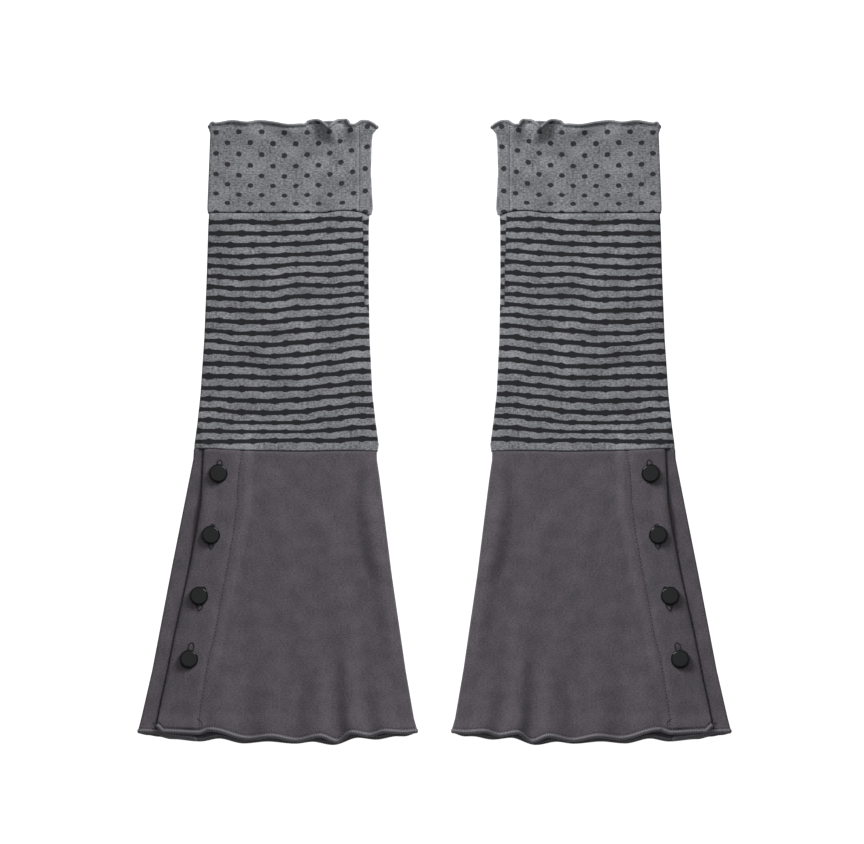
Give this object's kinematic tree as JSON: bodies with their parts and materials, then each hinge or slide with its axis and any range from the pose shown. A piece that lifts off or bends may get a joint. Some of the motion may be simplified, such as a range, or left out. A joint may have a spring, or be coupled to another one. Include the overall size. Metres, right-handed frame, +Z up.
{
  "type": "pair of leg warmers",
  "caption": "Pair of flared knit leg warmers laid flat: a ruffled dotted cuff, a striped calf tube and a plain wrap skirt that buttons along its outer side.",
  "frame": {"origin": "on the table, below the middle of the box round the pair", "axes": "+Y up the legs from the flared hems to the cuffs, +X towards the right-hand leg warmer, +Z up off the table"},
  "size_m": [0.475, 0.5004, 0.0118],
  "materials": {
    "dotted_knit": "grey melange cotton jersey with a staggered print of small charcoal dots",
    "striped_knit": "grey melange cotton jersey with narrow charcoal cross stripes",
    "plain_jersey": "plain dark warm-grey cotton jersey, matt",
    "sewing_thread": "matt overlocking and sewing thread in the cloth's own grey",
    "button": "black satin plastic with a soft shine on the rim"
  },
  "bodies": {
    "root": {"left_cuff": "dotted_knit", "left_tube": "striped_knit", "left_flare": "plain_jersey", "left_button_1": "button", "left_button_2": "button", "left_button_3": "button", "left_button_4": "button", "right_cuff": "dotted_knit", "right_tube": "striped_knit", "right_flare": "plain_jersey", "right_button_1": "button", "right_button_2": "button", "right_button_3": "button", "right_button_4": "button"}
  },
  "joints": []
}
